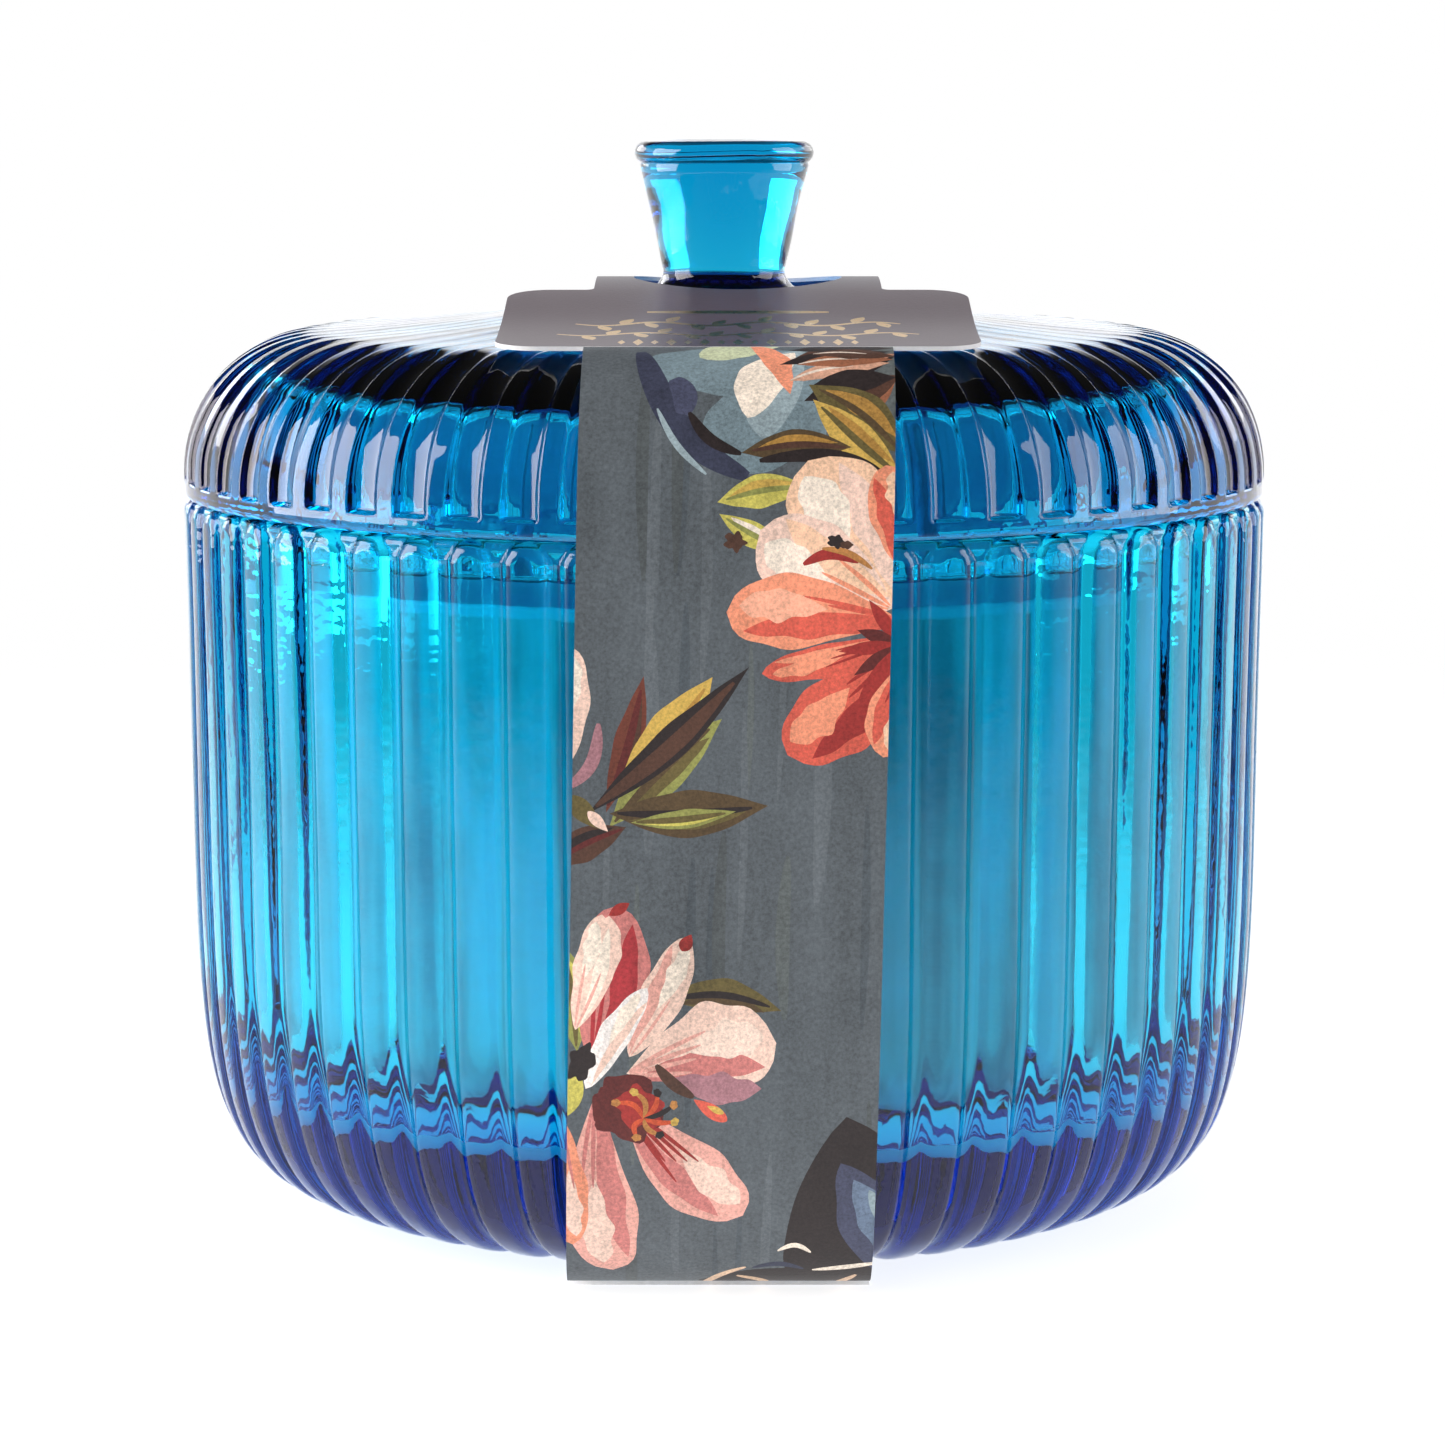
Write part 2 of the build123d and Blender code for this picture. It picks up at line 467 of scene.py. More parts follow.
def make_jar():
    angles = rib_angles(JAR_SHARES, JAR_PHASE)
    share = np.tile(np.array(JAR_SHARES), RIBS)
    side = jar_side()
    normal = outward(side)
    shell = Shell()
    coarse = angles[::9]
    shell.begin(BASE_Z + PUNT, coarse, 12.0, BASE_Z + PUNT)
    hollow = [(22.0, BASE_Z + PUNT), (FOOT_INNER_R - 2.6, BASE_Z + PUNT),
              (FOOT_INNER_R - 2.2, BASE_Z + PUNT * 0.9), (FOOT_INNER_R - 0.4, BASE_Z + 0.12),
              (FOOT_INNER_R + 0.2, BASE_Z)]
    for r, z in hollow:
        shell.ring(coarse, r, z)
    for (r, z), (nr, nz) in zip(side, normal):
        pitch = 2 * math.pi * r / RIBS
        x = (share - 0.5) * pitch
        s = RIM_Z - z
        half = RIB_SHARE * pitch / 2
        fade = smooth((r - FOOT_R) / 6)
        lift = RIB_H * fade * rib_height(x, s, half) * (1 - 0.16 * (x / half) ** 2)
        seam = 0.12 * math.exp(-((s - 1.9) / 0.16) ** 2) * (1 - rib_height(x, s, half))
        ripple = 0.025 * np.sin(5 * angles + z * 0.21) + 0.02 * np.sin(9 * angles - z * 0.13)
        out = lift + seam + ripple * smooth((r - 40) / 8) * smooth(s / 4)
        shell.ring(angles, r + nr * out, z + nz * out)
    inner = angles[::6]
    shell.ring(angles, BORE_R + 1.7, RIM_Z)
    shell.ring(inner, BORE_R + 1.0, RIM_Z - 0.03)
    bore = arc((BORE_R + 0.9, RIM_Z - 0.9), 0.9, 115, 180, 6)
    bore += [(BORE_R, RIM_Z - d) for d in (2, 4, 6, 8, 12, 18, 24, 30, 36, 41)]
    bore += arc((BORE_R - BORE_CORNER, FLOOR_Z + BORE_CORNER), BORE_CORNER, 0, -90, 16)
    bore += [(28.0, FLOOR_Z), (18.0, FLOOR_Z), (8.0, FLOOR_Z)]
    for r, z in bore:
        wave = 0.05 * np.sin(3 * inner + z * 0.17) + 0.04 * np.sin(7 * inner - z * 0.11)
        shell.ring(inner, r + wave * smooth((r - 40) / 8) * smooth((RIM_Z - z) / 5), z)
    shell.pole(FLOOR_Z)
    jar = shell.mesh("jar_glass")
    glass = glass_material("jar_blue_glass", (0.13, 0.76, 0.89), 0.00026, (0.0, 0.886, 0.962))
    jar.data.materials.append(glass)
    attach(jar, "jar")
    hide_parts("jar")


# ---------------------------------------------------------------- lid and knob
SHOULDER = 13.4
ARC_R = LID_R - SHOULDER
BAND_Z = SEAT_Z + 2.5
CROWN_SLOPE = 5.0
LEDGE = 1.7           # height of the plain band under the flutes
FLUTE_EDGE = 0.36     # drop at a flute's side
FLUTE_BOWL = 0.34     # further drop towards its middle
FLUTE_SHARE = 0.62    # of the pitch
ARC_SWEEP = 90 - CROWN_SLOPE
ARC_END = (ARC_R + SHOULDER * math.cos(math.radians(ARC_SWEEP)),
           BAND_Z + SHOULDER * math.sin(math.radians(ARC_SWEEP)))
CROWN_MID = (24.0, 86.5)
CROWN_TOP = (8.4, 88.9)
RING_R = 44.3         # inside of the ring that drops into the rim
RING_END_Z = RIM_Z - 3.2
NECK_ROOT = (6.6, 89.45)
NECK_R = 5.93
NECK_Z = 90.8
CONE_R = 8.45
BEAD_R = 8.65

LID_SHARES = mirrored([0.0, 0.08, 0.14, 0.175, 0.205, 0.235, 0.275, 0.33, 0.41, 0.5])


def flute_depth(share, r):
    """Depth of a flute, 0 on the flat ridge between two flutes."""
    pitch = 2 * math.pi * r / RIBS
    x = (share - 0.5) * pitch
    half = FLUTE_SHARE * pitch / 2
    inside = half - np.abs(x)
    width = 0.5 * pitch / (2 * math.pi * LID_R / RIBS)
    bowl = np.clip(1 - (x / half) ** 2, 0, 1)
    return FLUTE_EDGE * swell((inside + 0.1) / (width + 0.1)) + FLUTE_BOWL * bowl


def make_lid():
    angles = rib_angles(LID_SHARES, LID_PHASE)
    share = np.tile(np.array(LID_SHARES), RIBS)
    shell = Shell()
    round_ring = angles[::9]

    # the hollow underside, from its middle out and down to the ring
    under = line((10.0, 82.4), (42.9, 78.6), 8)
    under += arc((42.9, 77.2), 1.4, 84, 0, 8)
    under += [(RING_R, z) for z in (75.0, SEAT_Z + 3, SEAT_Z + 1, RING_END_Z)]
    under += arc((45.1, RING_END_Z), 0.8, 180, 270, 5)[1:] + arc((46.6, RING_END_Z), 0.8, 270, 360, 5)
    under += [(47.4, SEAT_Z - 0.6), (47.5, SEAT_Z - 0.1), (47.9, SEAT_Z)]
    shell.begin(83.2, round_ring, *under[0])
    for r, z in under[1:]:
        wave = 0.10 * np.sin(4 * round_ring + r * 0.3) + 0.08 * np.sin(11 * round_ring - z * 0.4)
        shell.ring(round_ring, r, z + wave * (z > SEAT_Z + 5) * smooth(r / 20))

    # the plain band, the fluted shoulder and the crown
    skin = arc((LID_R - 0.5, SEAT_Z + 0.5), 0.5, -90, 0, 5)
    skin += [(LID_R, SEAT_Z + h) for h in (1.0, 1.4, 1.55, 1.7, 1.85, 2.0, 2.15, 2.3)]
    skin += arc((ARC_R, BAND_Z), SHOULDER, 0, ARC_SWEEP, 30)
    crown = arc_by(ARC_END, CROWN_MID, CROWN_TOP, 22)
    skin += crown[1:13]
    normal = outward(skin)
    for (r, z), (nr, nz) in zip(skin, normal):
        ledge = smooth((z - SEAT_Z - LEDGE + 0.15) / 0.45)
        fade = 0.06 + 0.94 * smooth((r - 39.5) / 6.0)
        cut = flute_depth(share, r) * ledge * fade * smooth((r - 20) / 8)
        ripple = 0.03 * np.sin(6 * angles + z * 0.3) + 0.03 * np.sin(13 * angles - z * 0.5 + r * 0.2)
        out = ripple * smooth((z - BAND_Z) / 3) - cut
        shell.ring(angles, r + nr * out, z + nz * out)
    for r, z in crown[13:]:
        shell.ring(round_ring, r, z)

    # the knob: a flared cone with a rounded bead and a dished top
    knob = arc_by(CROWN_TOP, NECK_ROOT, (NECK_R, NECK_Z), 9)[1:]
    knob += line((NECK_R, NECK_Z), (CONE_R - 0.22, KNOB_TOP - 2.35), 14)[1:]
    knob += [(CONE_R - dr, KNOB_TOP - dz) for dr, dz in ((0.30, 2.2), (0.28, 2.08), (0.12, 2.0))]
    bead = (CONE_R + 0.02, KNOB_TOP - 1.85), (BEAD_R + 0.05, KNOB_TOP - 0.95), (BEAD_R - 1.0, KNOB_TOP)
    knob += arc_by(*bead, 14)
    knob += [(6.6, KNOB_TOP - 0.02), (5.2, KNOB_TOP - 0.2), (2.6, KNOB_TOP - 0.38)]
    seam_at = math.radians(24)
    for r, z in knob:
        off = (round_ring - seam_at + math.pi) % math.pi
        off = np.minimum(off, math.pi - off) * r
        seam = 0.10 * np.exp(-(off / 0.22) ** 2) * smooth((z - 89) / 2) * smooth((KNOB_TOP - 0.6 - z) / 1.0)
        lumpy = 0.05 * np.sin(2 * round_ring + z * 0.6) + 0.04 * np.sin(3 * round_ring - z * 0.9)
        shell.ring(round_ring, r + seam + lumpy * smooth((z - 89) / 3), z + 0.04 * np.sin(2 * round_ring + 1))
    shell.pole(KNOB_TOP - 0.4)
    lid = shell.mesh("lid_glass")
    glass = glass_material("lid_blue_glass", (0.18, 0.62, 0.78), 0.00018, (0.0, 0.830, 0.940))
    lid.data.materials.append(glass)
    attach(lid, "lid")
    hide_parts("lid")


# ---------------------------------------------------------------- wax and wicks
def make_wax():
    angles = np.linspace(0, 2 * math.pi, 180, endpoint=False)
    shell = Shell()
    grow = -0.12      # the wax has shrunk a little from the wall of the jar
    hold = 0.08       # and still holds to its bottom
    profile = [(r, FLOOR_Z - hold) for r in (16, 28)]
    for share in np.linspace(0, 1, 21):
        a = math.radians(-90 + 90 * share)
        reach = BORE_CORNER + hold + (grow - hold) * float(smooth(share / 0.7))
        r, z = BORE_R - BORE_CORNER + reach * math.cos(a), FLOOR_Z + BORE_CORNER + reach * math.sin(a)
        profile.append((r, z))
    profile += [(BORE_R + grow, z) for z in np.linspace(FLOOR_Z + 14, WAX_Z, 12)]
    profile += [(BORE_R + grow, WAX_Z + 0.45), (BORE_R - 0.25, WAX_Z + 0.5)]
    profile += [(BORE_R - 0.5, WAX_Z + 0.22), (BORE_R - 1.2, WAX_Z + 0.06), (BORE_R - 2.5, WAX_Z)]
    shell.begin(FLOOR_Z - hold, angles, 8, FLOOR_Z - hold)
    for r, z in profile:
        shell.ring(angles, r, z)
    for r in (44, 40, 36, 32, 29, 27, 25.5, 24.2, 23.2, 22, 20.8, 19.8, 18.5, 17, 15, 12, 8, 4):
        z = np.full(len(angles), WAX_Z) + 0.06 * np.sin(3 * angles + r * 0.2)
        for (wx, wy) in WICKS:
            away = np.hypot(r * np.sin(angles) - wx, -r * np.cos(angles) - wy)
            z = z + 0.5 * np.exp(-((away - 1.1) / 0.9) ** 2) - 0.25 * np.exp(-((away - 6) / 3.5) ** 2)
        shell.ring(angles, r, z)
    shell.pole(WAX_Z)
    wax = shell.mesh("wax_fill")
    wax.data.materials.append(wax_material())
    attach(wax, "jar")
    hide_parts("wax")


WICKS = [tuple((low(f"wick_{i}").to_2d() + high(f"wick_{i}").to_2d()) / 2) for i in (1, 2, 3)]


def make_wick(number, material):
    """A flat-braided cotton wick: three strands that cross down its length."""
    x0, y0 = WICKS[number - 1]
    bottom, top = low(f"wick_{number}").z + 0.3, high(f"wick_{number}").z - 0.1
    radius = (high(f"wick_{number}").x - low(f"wick_{number}").x) / 2
    lean = math.radians(40 + 125 * number)
    points, faces = [], []
    around, rows = 30, 150
    for row in range(rows + 1):
        z = bottom + (top - bottom) * row / rows
        bend = 0.35 * smooth(np.array((z - WAX_Z) / 8.0)) ** 1.5
        for k in range(around):
            a = 2 * math.pi * k / around
            braid = math.sin(6 * a + z * 2.4) * math.sin(6 * a - z * 2.4)
            r = radius * (0.90 + 0.10 * braid)
            r *= 1 - 0.5 * max(0, (z - top + 0.4) / 0.4) ** 2
            x = x0 + bend * math.cos(lean) + r * math.cos(a)
            y = y0 + bend * math.sin(lean) + r * math.sin(a)
            points.append((x, y, z))
    for row in range(rows):
        for k in range(around):
            a, b = row * around + k, row * around + (k + 1) % around
            faces.append((a, b, b + around, a + around))
    points += [(x0, y0, bottom), (x0 + 0.35 * math.cos(lean), y0 + 0.35 * math.sin(lean), top)]
    tip = len(points) - 1
    for k in range(around):
        faces.append((tip - 1, (k + 1) % around, k))
        faces.append((tip, rows * around + k, rows * around + (k + 1) % around))
    wick = new_piece(f"cotton_wick_{number}", points, faces)
    wick.data.materials.append(material)
    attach(wick, "jar")
    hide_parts(f"wick_{number}")


# ---------------------------------------------------------------- card wrap
def skew(z):
    """How far the wrap has slid sideways at a height: it sits a little crooked."""
    return 0.58 + 0.0206 * (z - 53)


class Path:
    """A line in the YZ plane, read by distance along it."""

    def __init__(self, points):
        self.points = np.array(points, float)
        steps = np.linalg.norm(np.diff(self.points, axis=0), axis=1)
        self.s = np.concatenate([[0], np.cumsum(steps)])
        self.length = self.s[-1]
        along = np.gradient(self.points, axis=0)
        along /= np.linalg.norm(along, axis=1)[:, None]
        self.normal = np.stack([-along[:, 1], along[:, 0]], axis=1)

    def at(self, s, lift):
        y, z = (np.interp(s, self.s, self.points[:, i]) for i in (0, 1))
        ny, nz = (np.interp(s, self.s, self.normal[:, i]) for i in (0, 1))
        return y + ny * lift, z + nz * lift


def natural_spline(knots, count):
    """Points on a smooth curve through the knots."""
    knots = np.array(knots, float)
    gaps = np.linalg.norm(np.diff(knots, axis=0), axis=1)
    t = np.concatenate([[0], np.cumsum(gaps)])
    n = len(knots)
    matrix, right = np.eye(n), np.zeros((n, 2))
    for i in range(1, n - 1):
        matrix[i, i - 1], matrix[i, i], matrix[i, i + 1] = gaps[i - 1], 2 * (gaps[i - 1] + gaps[i]), gaps[i]
        right[i] = 6 * ((knots[i + 1] - knots[i]) / gaps[i] - (knots[i] - knots[i - 1]) / gaps[i - 1])
    bend = np.linalg.solve(matrix, right)
    out = []
    for value in np.linspace(0, t[-1], count):
        i = min(np.searchsorted(t, value, side="right") - 1, n - 2)
        h, a, b = gaps[i], t[i + 1] - value, value - t[i]
        out.append(bend[i] * a ** 3 / (6 * h) + bend[i + 1] * b ** 3 / (6 * h)
                   + (knots[i] / h - bend[i] * h / 6) * a + (knots[i + 1] / h - bend[i + 1] * h / 6) * b)
    return out


CREASE_Y = 40.5
FOLD_Y = 42.2
CARD_GAP = 0.3


def label_path():
    """The top label's middle line, from the front crease to the back one."""
    lift = CARD_GAP + CARD / 2
    half = [(-CREASE_Y, ARC_END[1] + lift), (-CROWN_MID[0], CROWN_MID[1] + lift), (-10.0, 88.7 + lift)]
    knots = half + [(0.0, 89.4 + lift)] + [(-y, z) for y, z in reversed(half)]
    return Path(natural_spline(knots, 160))


def long_path():
    """The front panel's middle line as if it were behind: from the top crease down to the base."""
    reach = SHOULDER + CARD_GAP + CARD / 2
    start = math.degrees(math.acos((CREASE_Y + 0.3 - ARC_R) / reach))
    side_y = ARC_R + reach
    low_y = SIDE_R + CARD_GAP + CARD / 2
    points = arc((ARC_R, BAND_Z), reach, start, 0, 60)
    points += line((side_y, BAND_Z), (low_y, SIDE_Z), 30)[1:]
    points += bezier((low_y, SIDE_Z), (low_y, SIDE_Z - 24), (51.2, BASE_Z + 1.6),
                     (FOLD_Y + 0.3, BASE_Z + CARD * 0.9), 80)[1:]
    return points


def inside(polygon, x, y):
    """Which of the points lie in the polygon."""
    polygon = np.asarray(polygon, float)
    x1, y1 = polygon[:, 0], polygon[:, 1]
    x2, y2 = np.roll(x1, -1), np.roll(y1, -1)
    hit = np.zeros(len(x), bool)
    for a, b, c, d in zip(x1, y1, x2, y2):
        if b == d:
            continue
        crosses = (b > y) != (d > y)
        hit ^= crosses & (x < (c - a) * (y - b) / (d - b) + a)
    return hit


def card_mesh(name, outline, hole, shapes, cuts, place, ground, slot=0):
    """One flat card panel cut to an outline, bent by place(u, s, lift) and printed with shapes.

    shapes are (points, colour) from the bottom layer up, printed with the material in slot. cuts
    are distances along the panel where it may bend. The outside has the ink; the inside and the
    edges are white.
    """
    points, edges = [], []

    def add(loop, closed=True):
        start = len(points)
        points.extend(Vector(p) for p in loop)
        count = len(loop)
        edges.extend((start + i, start + (i + 1) % count) for i in range(count if closed else count - 1))

    add(outline)
    if hole:
        add(hole)
    wide = max(abs(p[0]) for p in outline) + 1
    for s in cuts:
        add([(-wide, s), (wide, s)], closed=False)
    for shape, _ in shapes:
        add(shape)
    flat, _, triangles, *_ = delaunay_2d_cdt(points, edges, [], 0, 1e-4, False)
    flat = np.array([tuple(p) for p in flat])
    triangles = np.array(triangles)
    middle = flat[triangles].mean(axis=1)
    keep = inside(outline, middle[:, 0], middle[:, 1])
    if hole:
        keep &= ~inside(hole, middle[:, 0], middle[:, 1])
    triangles, middle = triangles[keep], middle[keep]
    colours = np.tile(np.array([*ground, 1.0]), (len(triangles), 1))
    slots = np.zeros(len(triangles), int)
    for shape, colour in shapes:
        box = np.array(shape)
        near = ((middle > box.min(axis=0)) & (middle < box.max(axis=0))).all(axis=1)
        index = np.where(near)[0]
        hit = index[inside(shape, middle[index, 0], middle[index, 1])]
        colours[hit, :3] = colour
        slots[hit] = slot
    used, triangles = np.unique(triangles, return_inverse=True)
    triangles = triangles.reshape(-1, 3)
    flat = flat[used]
    count = len(flat)
    corner = flat[triangles]
    turn = np.cross(corner[:, 1] - corner[:, 0], corner[:, 2] - corner[:, 0])
    triangles[turn < 0] = triangles[turn < 0][:, ::-1]
    outer = place(flat[:, 0], flat[:, 1], CARD / 2)
    inner = place(flat[:, 0], flat[:, 1], -CARD / 2)
    triangles = triangles.tolist()
    sides = {side: None for a, b, c in triangles for side in ((a, b), (b, c), (c, a))}
    border = [(p, q) for p, q in sides if (q, p) not in sides]
    faces = [tuple(t) for t in triangles]
    faces += [(a + count, c + count, b + count) for a, b, c in triangles]
    faces += [(q, p, p + count, q + count) for p, q in border]
    piece = new_piece(name, np.vstack([outer, inner]), faces)
    mesh = piece.data
    ink = mesh.color_attributes.new("ink", "FLOAT_COLOR", "CORNER")
    white = (0.86, 0.85, 0.83, 1)
    rims = {frozenset((p + k, q + k)) for p, q in border for k in (0, count)}
    for polygon in mesh.polygons:
        i = polygon.index
        printed = i < len(triangles)
        colour = colours[i] if printed else white
        polygon.material_index = int(slots[i]) if printed else 1
        for loop in polygon.loop_indices:
            ink.data[loop].color = colour
    sharp = mesh.attributes.new("sharp_edge", "BOOLEAN", "EDGE")
    for edge in mesh.edges:
        sharp.data[edge.index].value = frozenset(edge.vertices) in rims
    return piece


# ---------------------------------------------------------------- the print: a generic flower painting
def ink(r, g, b):
    """A printed colour, from its 8-bit display values."""
    return tuple((c / 255 / 12.92) if c < 11 else ((c / 255 + 0.055) / 1.055) ** 2.4 for c in (r, g, b))


SLATE = ink(88, 95, 100)
PLUM = ink(88, 76, 84)
CREAM, BLUSH, PEACH = ink(247, 232, 214), ink(243, 208, 190), ink(248, 204, 170)
APRICOT, CORAL, BRICK = ink(240, 152, 118), ink(216, 94, 76), ink(160, 48, 44)
MAROON, UMBER, SOOT = ink(96, 38, 36), ink(84, 56, 44), ink(44, 36, 36)
MUSTARD, OCHRE, OLIVE = ink(208, 172, 84), ink(178, 134, 62), ink(104, 92, 52)
BRONZE, LIME, MOSS = ink(88, 70, 46), ink(206, 196, 96), ink(146, 148, 80)
PINK, ROSE, MAUVE = ink(232, 170, 156), ink(206, 126, 120), ink(172, 122, 130)
CRIMSON, FLAME, AMBER = ink(176, 52, 58), ink(206, 84, 50), ink(190, 130, 70)
MIST, HAZE, NAVY = ink(118, 138, 146), ink(150, 168, 174), ink(56, 60, 80)
DUSK, STEEL = ink(70, 74, 98), ink(108, 126, 150)


def petal(base, tip, width, widest=0.6, blunt=0.6, bend=0.0, ruffle=0.0, count=26):
    """A petal or leaf from base to tip, widest at that share of its length.

    Its end is round at blunt 0 and pointed at 1.
    """
    base, tip = np.array(base, float), np.array(tip, float)
    along = tip - base
    size = np.linalg.norm(along)
    across = np.array([-along[1], along[0]]) / size
    power = math.log(0.5) / math.log(widest)
    left, right = [], []
    for t in np.linspace(0, 1, count):
        half = width / 2 * math.sin(math.pi * t ** power) ** (0.45 + 0.75 * blunt) if 0 < t < 1 else 0
        half *= 1 + ruffle * math.sin(t * 21 + width) * t
        spine = base + along * t + across * bend * math.sin(math.pi * t)
        left.append(spine + across * half)
        right.append(spine - across * half * (1 - ruffle * math.cos(t * 17)))
    return [tuple(p) for p in left + right[-2:0:-1]]


def stroke(points, width, taper=1.0, count=30):
    """A brush stroke along a smooth line, thin at both ends."""
    line_points = np.array(natural_spline(points, count))
    along = np.gradient(line_points, axis=0)
    along /= np.linalg.norm(along, axis=1)[:, None]
    across = np.stack([-along[:, 1], along[:, 0]], axis=1)
    half = width / 2 * np.sin(np.linspace(0.06, math.pi - 0.06, count)) ** (0.5 * taper)
    left, right = line_points + across * half[:, None], line_points - across * half[:, None]
    return [tuple(p) for p in list(left) + list(right[::-1])]


def blob(centre, rx, ry, turn=0.0, wobble=0.08, waves=5):
    """An uneven rounded patch."""
    out = []
    for a in np.linspace(0, 2 * math.pi, 40, endpoint=False):
        k = 1 + wobble * math.sin(waves * a + rx * 3) + wobble * 0.5 * math.sin((waves + 4) * a + ry * 5)
        x, y = rx * k * math.cos(a), ry * k * math.sin(a)
        c, s = math.cos(math.radians(turn)), math.sin(math.radians(turn))
        out.append((centre[0] + x * c - y * s, centre[1] + x * s + y * c))
    return out


def toward(a, b, t, side=0.0):
    """A point a share t of the way from a to b, and to one side of the line."""
    a, b = np.array(a, float), np.array(b, float)
    d = b - a
    return tuple(a + d * t + np.array([-d[1], d[0]]) / np.linalg.norm(d) * side)


def painted_leaf(base, tip, width, body, lit, vein, bend=0.0, widest=0.5):
    """A leaf in three flat tones: body, the lit half and a broken vein."""
    size = math.dist(base, tip)
    return [
        (petal(base, tip, width, widest, 0.8, bend, 0.03), body),
        (petal(toward(base, tip, 0.12, width * 0.16), toward(base, tip, 0.86, width * 0.10), width * 0.40,
               0.55, 0.6, bend, 0.06), lit),
        (stroke([toward(base, tip, 0.05), toward(base, tip, 0.5, bend), toward(base, tip, 0.9, bend * 0.3)],
                0.05 * size + 0.12), vein),
    ]


def painted_petal(base, tip, width, body, shade, light, streak, widest=0.62, bend=0.0, side=1, streaks=4):
    """A petal in flat tones: body, a shaded side, a light patch and streaks that fan out from its base."""
    out = [(petal(base, tip, width, widest, 0.15, bend, 0.05), body)]
    aside = side * width
    out.append((petal(toward(base, tip, 0.04, aside * 0.10), toward(base, tip, 0.90, aside * 0.24),
                      width * 0.34, 0.55, 0.5, bend, 0.10), shade))
    out.append((petal(toward(base, tip, 0.42, -aside * 0.10), toward(base, tip, 0.93, -aside * 0.10),
                      width * 0.42, 0.6, 0.3, bend * 0.5, 0.12), light))
    for k in range(streaks):
        spread = (k - (streaks - 1) / 2) / max(streaks - 1, 1) * width * 0.42
        reach = 0.42 + 0.14 * ((k * 7 + 3) % 4) / 3
        along = [toward(base, tip, 0.02, spread * 0.1),
                 toward(base, tip, reach * 0.5, spread * 0.6 + bend * 0.4),
                 toward(base, tip, reach, spread + bend * 0.8)]
        out.append((stroke(along, 0.035 * width + 0.16), streak))
    return out


def several(paint, rows):
    """The shapes of several leaves or petals, each painted from one row of values."""
    return [shape for row in rows for shape in paint(*row)]


